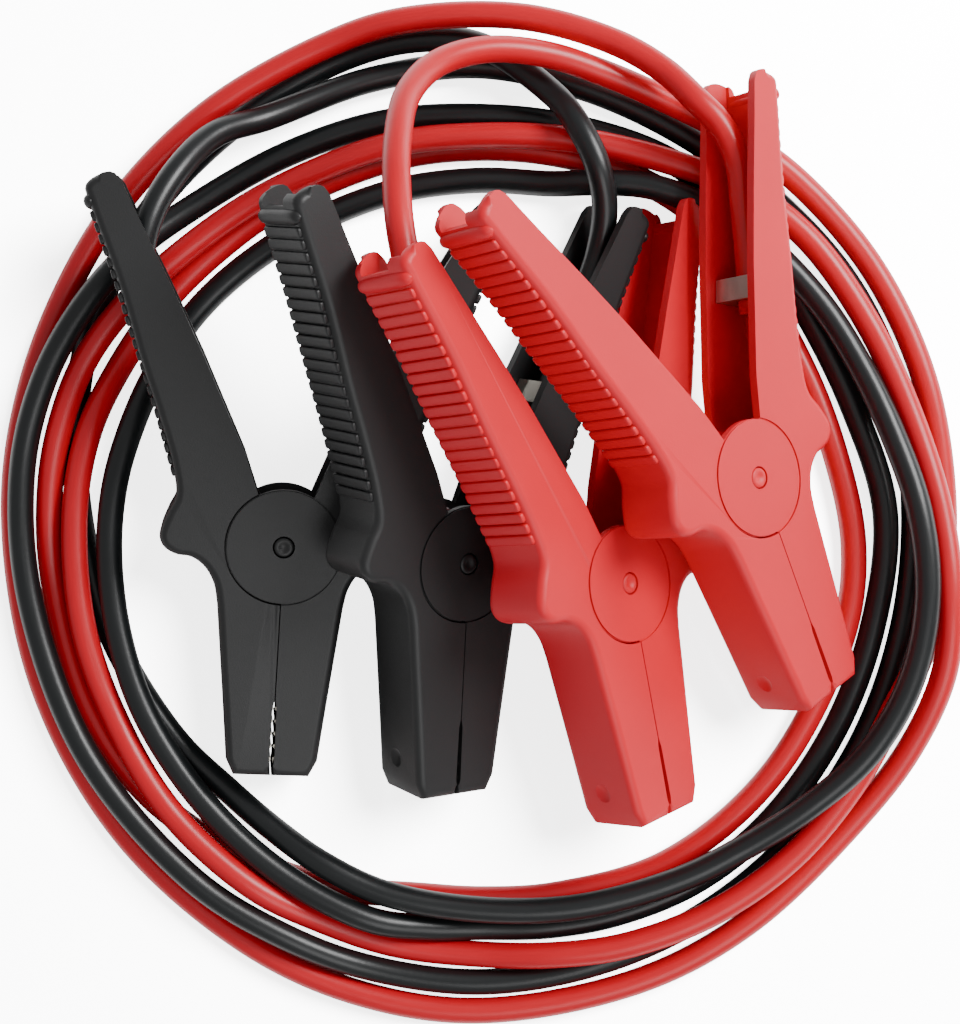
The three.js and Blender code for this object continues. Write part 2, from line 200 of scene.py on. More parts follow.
def on_floor(row):
    """A free point of a route in the whole set's frame, in metres."""
    return Vector((row[0] - CLAMP_MIDDLE[0], row[1] - CLAMP_MIDDLE[1], row[2])) * MM


def handle_points(name, rows):
    """Points in the cable-side handle of a clamp, in the whole set's frame."""
    matrix = clamp_matrix(name)
    return [matrix @ in_handle(CLAMPS[name][4], *row) for row in rows]


def black_route():
    """The black cable's points from the first black clamp to the second."""
    rise = [on_floor(point) for point in BLACK_RISE]
    turns = [on_ring(row) for row in BLACK_TURNS]
    fall = [on_floor(point) for point in BLACK_FALL]
    return handle_points("black_1", BLACK_START) + rise + turns + fall + handle_points("black_2", BLACK_END)


def red_route():
    """The red cable's points from the first red clamp to the second."""
    arch = [on_floor(point) for point in RED_ARCH]
    turns = [on_ring(row) for row in RED_TURNS]
    return handle_points("red_1", RED_START) + arch + turns + handle_points("red_2", RED_END)


def smooth_line(points, step):
    """Evenly spaced points on a smooth centripetal line through the points."""
    ends = [points[0] * 2 - points[1]] + list(points) + [points[-1] * 2 - points[-2]]
    fine = []
    for i in range(1, len(ends) - 2):
        p0, p1, p2, p3 = ends[i - 1], ends[i], ends[i + 1], ends[i + 2]
        d0, d1, d2 = (max((b - a).length, 1e-9) ** 0.5 for a, b in ((p0, p1), (p1, p2), (p2, p3)))
        m1 = ((p1 - p0) / d0 - (p2 - p0) / (d0 + d1) + (p2 - p1) / d1) * d1
        m2 = ((p2 - p1) / d1 - (p3 - p1) / (d1 + d2) + (p3 - p2) / d2) * d1
        for k in range(24):
            t = k / 24
            fine.append(p1 * (2 * t**3 - 3 * t**2 + 1) + m1 * (t**3 - 2 * t**2 + t)
                        + p2 * (-2 * t**3 + 3 * t**2) + m2 * (t**3 - t**2))
    fine.append(points[-1].copy())
    total = [0.0]
    for a, b in zip(fine, fine[1:]):
        total.append(total[-1] + (b - a).length)
    count = max(2, round(total[-1] / step))
    out, j = [], 0
    for k in range(count + 1):
        want = total[-1] * k / count
        while j < len(fine) - 2 and total[j + 1] < want:
            j += 1
        part = (want - total[j]) / max(total[j + 1] - total[j], 1e-12)
        out.append(fine[j].lerp(fine[j + 1], min(max(part, 0), 1)))
    return out, total[-1]


def tube(name, line, radius, sides):
    """A closed round tube along a line, with a UV map that runs along and around it."""
    bm = bmesh.new()
    uv = bm.loops.layers.uv.new("along")
    tangent = (line[1] - line[0]).normalized()
    normal = tangent.orthogonal().normalized()
    rings = []
    for i, centre in enumerate(line):
        ahead = line[min(i + 1, len(line) - 1)]
        behind = line[max(i - 1, 0)]
        turned = (ahead - behind).normalized()
        normal = (tangent.rotation_difference(turned) @ normal).normalized()
        tangent = turned
        side = tangent.cross(normal)
        rings.append([bm.verts.new(centre + (normal * math.cos(a) + side * math.sin(a)) * radius)
                      for a in (2 * math.pi * k / sides for k in range(sides))])
    step = sum((b - a).length for a, b in zip(line, line[1:])) / (len(line) - 1)
    for i in range(len(rings) - 1):
        for k in range(sides):
            after = (k + 1) % sides
            face = bm.faces.new((rings[i][k], rings[i][after], rings[i + 1][after], rings[i + 1][k]))
            face.smooth = True
            for loop, (u, v) in zip(face.loops, ((i, k), (i, k + 1), (i + 1, k + 1), (i + 1, k))):
                loop[uv].uv = (u * step / UV_LENGTH, v / sides)
    bm.faces.new(list(reversed(rings[0])))
    bm.faces.new(rings[-1])
    return finished_mesh(name, bm)


def finished_mesh(name, bm):
    """A new object from a bmesh, linked to the scene."""
    mesh = bpy.data.meshes.new(name)
    bm.to_mesh(mesh)
    bm.free()
    obj = bpy.data.objects.new(name, mesh)
    bpy.context.scene.collection.objects.link(obj)
    return obj


# Shader node groups for effects that several finishes share
def new_group(name, inputs, outputs):
    """An empty shader node group with its sockets."""
    tree = bpy.data.node_groups.new(name, "ShaderNodeTree")
    for label, kind, value in inputs:
        socket = tree.interface.new_socket(name=label, in_out="INPUT", socket_type=kind)
        socket.default_value = value
    for label, kind in outputs:
        tree.interface.new_socket(name=label, in_out="OUTPUT", socket_type=kind)
    return tree, tree.nodes.new("NodeGroupInput"), tree.nodes.new("NodeGroupOutput")


def moulded_grain_group():
    """Fine spark grain and faint flow marks of a moulding."""
    tree, source, out = new_group(
        "Moulded grain",
        [("Color", "NodeSocketColor", (0.5, 0.5, 0.5, 1)),
         ("Flow color", "NodeSocketColor", (0.5, 0.5, 0.5, 1)),
         ("Grain scale", "NodeSocketFloat", 2600.0), ("Grain depth", "NodeSocketFloat", 0.00003),
         ("Roughness", "NodeSocketFloat", 0.45), ("Roughness spread", "NodeSocketFloat", 0.08)],
        [("Color", "NodeSocketColor"), ("Roughness", "NodeSocketFloat"), ("Normal", "NodeSocketVector")])
    nodes, links = tree.nodes, tree.links
    place = nodes.new("ShaderNodeTexCoord")
    flow = nodes.new("ShaderNodeTexNoise")
    flow.inputs["Scale"].default_value = 38.0
    flow.inputs["Detail"].default_value = 3.0
    grain = nodes.new("ShaderNodeTexNoise")
    grain.inputs["Detail"].default_value = 2.0
    mix = nodes.new("ShaderNodeMix")
    mix.data_type = "RGBA"
    spread = nodes.new("ShaderNodeMath")
    spread.operation = "MULTIPLY_ADD"
    bump = nodes.new("ShaderNodeBump")
    bump.inputs["Strength"].default_value = 0.55
    links.new(place.outputs["Object"], flow.inputs["Vector"])
    links.new(place.outputs["Object"], grain.inputs["Vector"])
    links.new(source.outputs["Grain scale"], grain.inputs["Scale"])
    links.new(flow.outputs["Fac"], mix.inputs["Factor"])
    links.new(source.outputs["Color"], mix.inputs["A"])
    links.new(source.outputs["Flow color"], mix.inputs["B"])
    links.new(mix.outputs["Result"], out.inputs["Color"])
    links.new(grain.outputs["Fac"], spread.inputs[0])
    links.new(source.outputs["Roughness spread"], spread.inputs[1])
    links.new(source.outputs["Roughness"], spread.inputs[2])
    links.new(spread.outputs[0], out.inputs["Roughness"])
    links.new(grain.outputs["Fac"], bump.inputs["Height"])
    links.new(source.outputs["Grain depth"], bump.inputs["Distance"])
    links.new(bump.outputs["Normal"], out.inputs["Normal"])
    return tree


def vinyl_skin_group():
    """Extruded vinyl: long faint streaks along the cable and a soft unevenness."""
    tree, source, out = new_group(
        "Vinyl skin",
        [("Color", "NodeSocketColor", (0.5, 0.5, 0.5, 1)),
         ("Streak color", "NodeSocketColor", (0.5, 0.5, 0.5, 1)),
         ("Roughness", "NodeSocketFloat", 0.35), ("Roughness spread", "NodeSocketFloat", 0.1),
         ("Depth", "NodeSocketFloat", 0.00006)],
        [("Color", "NodeSocketColor"), ("Roughness", "NodeSocketFloat"), ("Normal", "NodeSocketVector")])
    nodes, links = tree.nodes, tree.links
    place = nodes.new("ShaderNodeUVMap")
    place.uv_map = "along"
    stretch = nodes.new("ShaderNodeMapping")
    stretch.inputs["Scale"].default_value = (3.0, 9.0, 1.0)
    streak = nodes.new("ShaderNodeTexNoise")
    streak.inputs["Scale"].default_value = 4.0
    streak.inputs["Detail"].default_value = 4.0
    skin = nodes.new("ShaderNodeTexNoise")
    skin.inputs["Scale"].default_value = 900.0
    skin.inputs["Detail"].default_value = 2.0
    body = nodes.new("ShaderNodeTexCoord")
    mix = nodes.new("ShaderNodeMix")
    mix.data_type = "RGBA"
    spread = nodes.new("ShaderNodeMath")
    spread.operation = "MULTIPLY_ADD"
    bump = nodes.new("ShaderNodeBump")
    bump.inputs["Strength"].default_value = 0.35
    links.new(place.outputs["UV"], stretch.inputs["Vector"])
    links.new(stretch.outputs["Vector"], streak.inputs["Vector"])
    links.new(body.outputs["Object"], skin.inputs["Vector"])
    links.new(streak.outputs["Fac"], mix.inputs["Factor"])
    links.new(source.outputs["Color"], mix.inputs["A"])
    links.new(source.outputs["Streak color"], mix.inputs["B"])
    links.new(mix.outputs["Result"], out.inputs["Color"])
    links.new(streak.outputs["Fac"], spread.inputs[0])
    links.new(source.outputs["Roughness spread"], spread.inputs[1])
    links.new(source.outputs["Roughness"], spread.inputs[2])
    links.new(spread.outputs[0], out.inputs["Roughness"])
    links.new(skin.outputs["Fac"], bump.inputs["Height"])
    links.new(source.outputs["Depth"], bump.inputs["Distance"])
    links.new(bump.outputs["Normal"], out.inputs["Normal"])
    return tree


def plated_metal_group():
    """Drawn or pressed metal: fine scratches and a cloudy plating."""
    tree, source, out = new_group(
        "Plated metal",
        [("Color", "NodeSocketColor", (0.6, 0.6, 0.6, 1)),
         ("Cloud color", "NodeSocketColor", (0.5, 0.5, 0.5, 1)),
         ("Scratch scale", "NodeSocketFloat", 1500.0), ("Roughness", "NodeSocketFloat", 0.25)],
        [("Color", "NodeSocketColor"), ("Roughness", "NodeSocketFloat"), ("Normal", "NodeSocketVector")])
    nodes, links = tree.nodes, tree.links
    place = nodes.new("ShaderNodeTexCoord")
    stretch = nodes.new("ShaderNodeMapping")
    stretch.inputs["Scale"].default_value = (1.0, 0.15, 1.0)
    cloud = nodes.new("ShaderNodeTexNoise")
    cloud.inputs["Scale"].default_value = 160.0
    scratch = nodes.new("ShaderNodeTexNoise")
    scratch.inputs["Detail"].default_value = 3.0
    mix = nodes.new("ShaderNodeMix")
    mix.data_type = "RGBA"
    spread = nodes.new("ShaderNodeMath")
    spread.operation = "MULTIPLY_ADD"
    spread.inputs[1].default_value = 0.25
    bump = nodes.new("ShaderNodeBump")
    bump.inputs["Strength"].default_value = 0.3
    bump.inputs["Distance"].default_value = 0.00003
    links.new(place.outputs["Object"], stretch.inputs["Vector"])
    links.new(place.outputs["Object"], cloud.inputs["Vector"])
    links.new(stretch.outputs["Vector"], scratch.inputs["Vector"])
    links.new(source.outputs["Scratch scale"], scratch.inputs["Scale"])
    links.new(cloud.outputs["Fac"], mix.inputs["Factor"])
    links.new(source.outputs["Color"], mix.inputs["A"])
    links.new(source.outputs["Cloud color"], mix.inputs["B"])
    links.new(mix.outputs["Result"], out.inputs["Color"])
    links.new(scratch.outputs["Fac"], spread.inputs[0])
    links.new(source.outputs["Roughness"], spread.inputs[2])
    links.new(spread.outputs[0], out.inputs["Roughness"])
    links.new(scratch.outputs["Fac"], bump.inputs["Height"])
    links.new(bump.outputs["Normal"], out.inputs["Normal"])
    return tree


def finish_material(name, tree, values, metallic=0.0, coat=0.0, specular=0.5):
    """A material whose shader takes its colour, roughness and normal from a shared group."""
    material = bpy.data.materials.new(name)
    material.use_nodes = True
    nodes, links = material.node_tree.nodes, material.node_tree.links
    shader = nodes["Principled BSDF"]
    group = nodes.new("ShaderNodeGroup")
    group.node_tree = tree
    for label, value in values.items():
        group.inputs[label].default_value = value
    links.new(group.outputs["Color"], shader.inputs["Base Color"])
    links.new(group.outputs["Roughness"], shader.inputs["Roughness"])
    links.new(group.outputs["Normal"], shader.inputs["Normal"])
    shader.inputs["Metallic"].default_value = metallic
    shader.inputs["Specular IOR Level"].default_value = specular
    shader.inputs["Coat Weight"].default_value = coat
    shader.inputs["Coat Roughness"].default_value = 0.25
    return material


def shade(colour, factor):
    """A colour made lighter or darker, for the second tone of a finish."""
    return tuple(min(1.0, c * factor) for c in colour[:3]) + (1.0,)


MATERIALS = {}


def make_materials(user):
    """All finishes, from the user's colours."""
    grain = moulded_grain_group()
    vinyl = vinyl_skin_group()
    plated = plated_metal_group()
    for key, colour in (("black plastic", user.black_plastic), ("red plastic", user.red_plastic)):
        MATERIALS[key] = finish_material(
            key.capitalize(), grain,
            {"Color": shade(colour, 1.0), "Flow color": shade(colour, 1.22), "Grain scale": 2400.0,
             "Grain depth": 0.00005, "Roughness": 0.4, "Roughness spread": 0.14})
    for key, colour in (("black vinyl", user.black_cable), ("red vinyl", user.red_cable)):
        MATERIALS[key] = finish_material(
            key.capitalize(), vinyl,
            {"Color": shade(colour, 1.0), "Streak color": shade(colour, 1.25), "Roughness": 0.28,
             "Roughness spread": 0.14, "Depth": 0.00006})
    MATERIALS["spring steel"] = finish_material(
        "Spring steel", plated, {"Color": (0.62, 0.62, 0.63, 1), "Cloud color": (0.5, 0.5, 0.52, 1),
                                 "Scratch scale": 1400.0, "Roughness": 0.2}, metallic=1.0)
    MATERIALS["jaw metal"] = finish_material(
        "Jaw metal", plated, {"Color": (0.66, 0.62, 0.54, 1), "Cloud color": (0.5, 0.47, 0.42, 1),
                              "Scratch scale": 1100.0, "Roughness": 0.24}, metallic=1.0)


def dress(obj, key):
    """Gives an object one finish in place of what it has."""
    obj.data.materials.clear()
    obj.data.materials.append(MATERIALS[key])


def plastic_of(name):
    """The plastic that a clamp is moulded in."""
    return "black plastic" if name.startswith("black") else "red plastic"


# The clamp's outline, in the clamp's own frame in millimetres, for the left half
JAW_OUTSIDE = [(-10.0, -61.5), (-12.1, -57.2), (-13.7, -41.7), (-16.5, -15.7)]
LOBE = [(-17.6, -10.6), (-20.2, -6.3), (-23.8, -3.9), (-27.7, -3.4), (-31.0, -1.5), (-32.2, 1.5),
        (-30.5, 7.4), (-28.5, 12.2), (-29.8, 20.0)]
HANDLE_OUTSIDE = [(-34.0, 32.7), (-38.8, 45.5), (-45.3, 64.6), (-53.6, 85.0), (-54.9, 89.2)]
TIP = [(-52.4, 91.9), (-48.2, 93.2), (-45.9, 91.2)]
HANDLE_INSIDE = [(-40.7, 81.4), (-32.3, 66.0), (-23.4, 49.1), (-18.8, 39.5), (-11.2, 23.8), (-7.4, 13.6)]
JAW_EDGE = [(-0.15, 0.0), (-0.15, -41.0), (-0.55, -43.0), (-0.7, -57.0), (-0.4, -58.5), (-0.15, -61.5)]
HOLLOW = [(-7.4, -58.5), (-9.5, -55.5), (-10.9, -41.4), (-13.7, -15.4), (-14.6, -9.6), (-18.0, -4.2),
          (-23.0, -1.4), (-27.0, -0.9), (-29.4, 1.2), (-28.0, 7.0), (-26.0, 12.0), (-27.4, 20.5),
          (-31.7, 33.5), (-36.5, 46.3), (-43.1, 65.4), (-56.0, 96.2), (-40.0, 110.0), (20.0, 40.0),
          (20.0, -58.5)]


def rounded(points):
    """A smooth line through 2D points."""
    line, _ = smooth_line([Vector((x, y, 0)) for x, y in points], OUTLINE_STEP)
    return [(p.x, p.y) for p in line]


def half_outline():
    """The outline with a smooth lobe, a smooth handle and sharp corners where the mould has them."""
    outside = rounded(JAW_OUTSIDE[3:] + LOBE + HANDLE_OUTSIDE + TIP)
    return JAW_OUTSIDE[:3] + outside + HANDLE_INSIDE + JAW_EDGE


def prism(points, low, high, soft=0.0, soft_from=None):
    """A prism between two heights, with a quarter-round rim of radius soft where soft_from is true."""
    count = len(points)
    area = sum(a[0] * b[1] - b[0] * a[1] for a, b in zip(points, points[1:] + points[:1]))
    turn = 1 if area > 0 else -1
    inward = []
    for i in range(count):
        a, b, c = Vector(points[i - 1]), Vector(points[i]), Vector(points[(i + 1) % count])
        first, second = (b - a).normalized(), (c - b).normalized()
        n1, n2 = Vector((-first.y, first.x)) * turn, Vector((-second.y, second.x)) * turn
        middle = n1 + n2
        middle = middle / max(middle.length_squared / 2, 0.35)
        inward.append(middle if soft_from is None or soft_from(*points[i]) else Vector((0, 0)))
    levels = [(low, 0.0), (high, 0.0)]
    if soft:
        steps = [math.radians(a) for a in (0, 22.5, 45, 67.5, 90)]
        levels = [(low + soft * (1 - math.sin(a)), soft * (1 - math.cos(a))) for a in reversed(steps)]
        levels += [(high - soft * (1 - math.sin(a)), soft * (1 - math.cos(a))) for a in steps]
    bm = bmesh.new()
    rings = [[bm.verts.new((p[0] + n.x * inset, p[1] + n.y * inset, z)) for p, n in zip(points, inward)]
             for z, inset in levels]
    for lower, upper in zip(rings, rings[1:]):
        for i in range(count):
            j = (i + 1) % count
            bm.faces.new((lower[i], lower[j], upper[j], upper[i]))
    bm.faces.new(list(reversed(rings[0])))
    bm.faces.new(rings[-1])
    bmesh.ops.recalc_face_normals(bm, faces=bm.faces)
    return finished_mesh("block", bm)


def drum(radius, low, high, sides=96, at=(0, 0)):
    """A round block about a line parallel to the pivot."""
    angles = [2 * math.pi * k / sides for k in range(sides)]
    points = [(at[0] + radius * math.cos(a), at[1] + radius * math.sin(a)) for a in angles]
    return prism(points, low, high)


def ball(radius, at):
    """A round tool for a dimple."""
    bm = bmesh.new()
    bmesh.ops.create_uvsphere(bm, u_segments=32, v_segments=20, radius=radius, matrix=Matrix.Translation(at))
    return finished_mesh("ball", bm)


def combine(base, tool, operation):
    """Joins or cuts base with tool, and removes tool."""
    modifier = base.modifiers.new("combine", "BOOLEAN")
    modifier.operation = operation
    modifier.solver = "EXACT"
    modifier.object = tool
    bpy.context.view_layer.update()
    mesh = bpy.data.meshes.new_from_object(base.evaluated_get(bpy.context.evaluated_depsgraph_get()))
    base.modifiers.clear()
    base.data = mesh
    bpy.data.objects.remove(tool)
    return base


def mirrored(points):
    """An outline's mirror image, still running the same way round."""
    return [(-x, y) for x, y in reversed(points)]


def mould_half(side, soft, rim):
    """One half in the clamp's own frame. Side -1 has the inner ears, side 1 the outer discs."""
    outline = half_outline()
    hollow = HOLLOW
    if side > 0:
        outline, hollow = mirrored(outline), mirrored(hollow)

    def outer(x, y):
        away = abs(x) * math.cos(HANDLE_ANGLE) - y * math.sin(HANDLE_ANGLE)
        beside_pivot = abs(in_handle(-1, 15.5, 2.0).x) + 1
        return (y < 0 and abs(x) > 5) or (y >= 0 and away > 1.0 and abs(x) > beside_pivot) or y < JAW_TIP

    body = prism(outline, -FACE, FACE, soft, outer)
    combine(body, prism(hollow, -EAR_FACE, EAR_FACE), "DIFFERENCE")
    scoop_at = in_handle(side, *SCOOP_PLACE)
    combine(body, drum(SCOOP_RADIUS, *SCOOP_HEIGHTS, 48, (scoop_at.x, scoop_at.y)), "DIFFERENCE")
    if side > 0:
        for low, high in ((EAR_FACE, FACE), (-FACE, -EAR_FACE)):
            combine(body, drum(DISC_RADIUS, low, high), "UNION")
        combine(body, drum(WEB_RADIUS + FIT, -EAR_FACE, EAR_FACE), "DIFFERENCE")
        for low, high in ((FACE - GROOVE_DEPTH, FACE + 1), (-FACE - 1, GROOVE_DEPTH - FACE)):
            ring = drum(DISC_RADIUS + GROOVE_OUTSIDE, low, high)
            combine(ring, drum(DISC_RADIUS - GROOVE_INSIDE, low - 1, high + 1), "DIFFERENCE")
            combine(body, ring, "DIFFERENCE")
    else:
        for low, high in ((INNER_EAR_BACK, INNER_EAR_FACE), (-INNER_EAR_FACE, -INNER_EAR_BACK)):
            combine(body, drum(INNER_EAR_RADIUS, low, high), "UNION")
        for low, high in ((INNER_EAR_BACK, FACE - 0.01), (-FACE + 0.01, -INNER_EAR_BACK)):
            web = prism(outline, low, high)
            combine(web, drum(WEB_RADIUS, low - 1, high + 1), "INTERSECT")
            combine(body, web, "UNION")
        for low, high in ((INNER_EAR_FACE, FACE + 1), (-FACE - 1, -INNER_EAR_FACE)):
            combine(body, drum(DISC_RADIUS + DISC_GAP, low, high), "DIFFERENCE")
    combine(body, drum(PIN_RADIUS + FIT, -FACE - 1, FACE + 1, 48), "DIFFERENCE")
    combine(body, ball(DIMPLE_RADIUS, (side * DIMPLE_OUT, DIMPLE_DOWN, DIMPLE_HEIGHT)), "DIFFERENCE")
    bm = bmesh.new()
    bm.from_mesh(body.data)
    bmesh.ops.remove_doubles(bm, verts=bm.verts, dist=0.004)
    bmesh.ops.dissolve_degenerate(bm, edges=bm.edges, dist=0.002)
    bm.to_mesh(body.data)
    bm.free()
    edge = body.modifiers.new("rim", "BEVEL")
    edge.width = rim
    edge.segments = 2
    edge.limit_method = "ANGLE"
    edge.angle_limit = math.radians(48)
    bpy.context.view_layer.update()
    mesh = bpy.data.meshes.new_from_object(body.evaluated_get(bpy.context.evaluated_depsgraph_get()))
    bpy.data.objects.remove(body)
    mesh.polygons.foreach_set("use_smooth", [True] * len(mesh.polygons))
    return mesh


def placed_copy(name, mesh, matrix):
    """An object at the origin whose mesh is a placed copy of one built in a clamp's frame."""
    copy = mesh.copy()
    copy.name = name
    copy.transform(matrix)
    obj = bpy.data.objects.new(name, copy)
    bpy.context.scene.collection.objects.link(obj)
    return obj


def soften(obj, angle):
    """Smooth faces with sharp creases above an angle."""
    bm = bmesh.new()
    bm.from_mesh(obj.data)
    for face in bm.faces:
        face.smooth = True
    for edge in bm.edges:
        edge.smooth = len(edge.link_faces) == 2 and edge.calc_face_angle(0) < math.radians(angle)
    bm.to_mesh(obj.data)
    bm.free()
    even = obj.modifiers.new("flat faces", "WEIGHTED_NORMAL")
    even.keep_sharp = True
    even.weight = 100


def rib_tree():
    """Ribs along a line: bars at an even pitch, each turned to the line."""
    tree = bpy.data.node_groups.new("Grip ribs", "GeometryNodeTree")
    tree.interface.new_socket(name="Line", in_out="INPUT", socket_type="NodeSocketGeometry")
    for label, value in (("Pitch", 3.0), ("Rib width", 1.7), ("Rib height", 1.6), ("Rib length", 15.0)):
        socket = tree.interface.new_socket(name=label, in_out="INPUT", socket_type="NodeSocketFloat")
        socket.default_value = value
    tree.interface.new_socket(name="Finish", in_out="INPUT", socket_type="NodeSocketMaterial")
    tree.interface.new_socket(name="Geometry", in_out="OUTPUT", socket_type="NodeSocketGeometry")
    nodes, links = tree.nodes, tree.links
    source, out = nodes.new("NodeGroupInput"), nodes.new("NodeGroupOutput")
    to_curve = nodes.new("GeometryNodeMeshToCurve")
    even = nodes.new("GeometryNodeResampleCurve")
    even.mode = "LENGTH"
    points = nodes.new("GeometryNodeCurveToPoints")
    points.mode = "EVALUATED"
    bar = nodes.new("GeometryNodeMeshCube")
    size = nodes.new("ShaderNodeCombineXYZ")
    round_off = nodes.new("GeometryNodeSubdivisionSurface")
    round_off.inputs["Level"].default_value = 2
    place = nodes.new("GeometryNodeInstanceOnPoints")
    turn = nodes.new("FunctionNodeAlignRotationToVector")
    turn.axis = "Y"
    turn.pivot_axis = "Z"
    real = nodes.new("GeometryNodeRealizeInstances")
    smooth = nodes.new("GeometryNodeSetShadeSmooth")
    finish = nodes.new("GeometryNodeSetMaterial")
    links.new(source.outputs["Line"], to_curve.inputs["Mesh"])
    links.new(to_curve.outputs["Curve"], even.inputs["Curve"])
    links.new(source.outputs["Pitch"], even.inputs["Length"])
    links.new(even.outputs["Curve"], points.inputs["Curve"])
    links.new(source.outputs["Rib height"], size.inputs["X"])
    links.new(source.outputs["Rib width"], size.inputs["Y"])
    links.new(source.outputs["Rib length"], size.inputs["Z"])
    links.new(size.outputs["Vector"], bar.inputs["Size"])
    for axis, count in (("Vertices X", 3), ("Vertices Y", 3), ("Vertices Z", 12)):
        bar.inputs[axis].default_value = count
    links.new(bar.outputs["Mesh"], round_off.inputs["Mesh"])
    links.new(points.outputs["Points"], place.inputs["Points"])
    links.new(points.outputs["Tangent"], turn.inputs["Vector"])
    links.new(turn.outputs["Rotation"], place.inputs["Rotation"])
    links.new(round_off.outputs["Mesh"], place.inputs["Instance"])
    links.new(place.outputs["Instances"], real.inputs["Geometry"])
    links.new(real.outputs["Geometry"], smooth.inputs["Geometry"])
    links.new(smooth.outputs["Geometry"], finish.inputs["Geometry"])
    links.new(source.outputs["Finish"], finish.inputs["Material"])
    links.new(finish.outputs["Geometry"], out.inputs["Geometry"])
    return tree


def rib_mesh(tree, side, pitch, key):
    """The ribs of one handle in the clamp's frame, as a plain mesh."""
    line = rounded([in_handle(side, *place)[:2] for place in RIB_LINE])
    bm = bmesh.new()
    verts = [bm.verts.new((x, y, 0)) for x, y in line]
    for a, b in zip(verts, verts[1:]):
        bm.edges.new((a, b))
    carrier = finished_mesh("rib line", bm)
    modifier = carrier.modifiers.new("ribs", "NODES")
    modifier.node_group = tree
    names = {item.name: item.identifier for item in tree.interface.items_tree if item.in_out == "INPUT"}
    modifier[names["Pitch"]] = pitch
    modifier[names["Rib width"]] = pitch * RIB_SHARE
    modifier[names["Rib height"]] = RIB_HEIGHT
    modifier[names["Rib length"]] = THICKNESS - 2 * RIB_MARGIN
    modifier[names["Finish"]] = MATERIALS[key]
    bpy.context.view_layer.update()
    mesh = bpy.data.meshes.new_from_object(carrier.evaluated_get(bpy.context.evaluated_depsgraph_get()))
    bpy.data.objects.remove(carrier)
    return mesh


def tip_lip_mesh(side):
    """The rolled lip across the end of a handle."""
    bm = bmesh.new()
    rows = 20
    rings = []
    for i in range(rows + 1):
        t = i / rows * 2 - 1
        thick = 1.75 * (1 - abs(t) ** 6) ** 0.5
        centre = in_handle(side, 100.6, 6.3, t * 9.5)
        out = in_handle(side, 100, 10) - in_handle(side, 100, 0)
        along = in_handle(side, 110, 0) - in_handle(side, 100, 0)
        out.normalize()
        along.normalize()
        thick = max(thick, 0.02)
        rings.append([bm.verts.new(centre + (out * math.cos(a) * 1.1 + along * math.sin(a) * 1.2) * thick)
                      for a in (2 * math.pi * k / 16 for k in range(16))])
    for lower, upper in zip(rings, rings[1:]):
        for k in range(16):
            face = bm.faces.new((lower[k], lower[(k + 1) % 16], upper[(k + 1) % 16], upper[k]))
            face.smooth = True
    bm.faces.new(list(reversed(rings[0])))
    bm.faces.new(rings[-1])
    bmesh.ops.recalc_face_normals(bm, faces=bm.faces)
    mesh = bpy.data.meshes.new("tip lip")
    bm.to_mesh(mesh)
    bm.free()
    return mesh


def spring_line():
    """The torsion spring's wire in the clamp's frame: coil round the pin and a leg up each handle."""
    radius, turns, pitch, reach = 4.4, 3.5, 1.9, 12.0
    start = math.pi / 2 + math.radians(62)
    top = turns * pitch / 2

    def at(angle, z):
        return Vector((radius * math.cos(angle), radius * math.sin(angle), z))

    def along(p, sign):
        return Vector((-p.y, p.x, 0)).normalized() * sign

    first, last = at(start, -top), at(start + turns * 2 * math.pi, top)
    points = [first + along(first, -1) * reach, first + along(first, -1) * reach / 2]
    count = int(turns * 16)
    for k in range(count + 1):
        share = k / count
        points.append(at(start + share * turns * 2 * math.pi, -top + share * 2 * top))
    points += [last + along(last, 1) * reach / 2, last + along(last, 1) * reach]
    return points


def pivot_rivet(name):
    """A turned rivet along the pivot, with a rounded rim and a hollow in each head."""
    end = FACE + RIVET_STANDS
    profile = [(0.0, end - 0.45), (0.9, end - 0.4), (1.3, end - 0.05), (2.0, end), (2.45, end - 0.2),
               (PIN_RADIUS, end - 0.6)]
    profile = profile + [(r, -z) for r, z in reversed(profile)]
    bm = bmesh.new()
    rings = []
    for r, z in profile:
        angles = [2 * math.pi * k / RIVET_SIDES for k in range(RIVET_SIDES if r else 1)]
        rings.append([bm.verts.new((r * math.cos(a), r * math.sin(a), z)) for a in angles])
    for upper, lower in zip(rings, rings[1:]):
        for k in range(RIVET_SIDES):
            corners = [upper[k % len(upper)], lower[k % len(lower)], lower[(k + 1) % len(lower)],
                       upper[(k + 1) % len(upper)]]
            bm.faces.new(list(dict.fromkeys(corners))).smooth = True
    bmesh.ops.recalc_face_normals(bm, faces=bm.faces)
    return finished_mesh(name, bm)


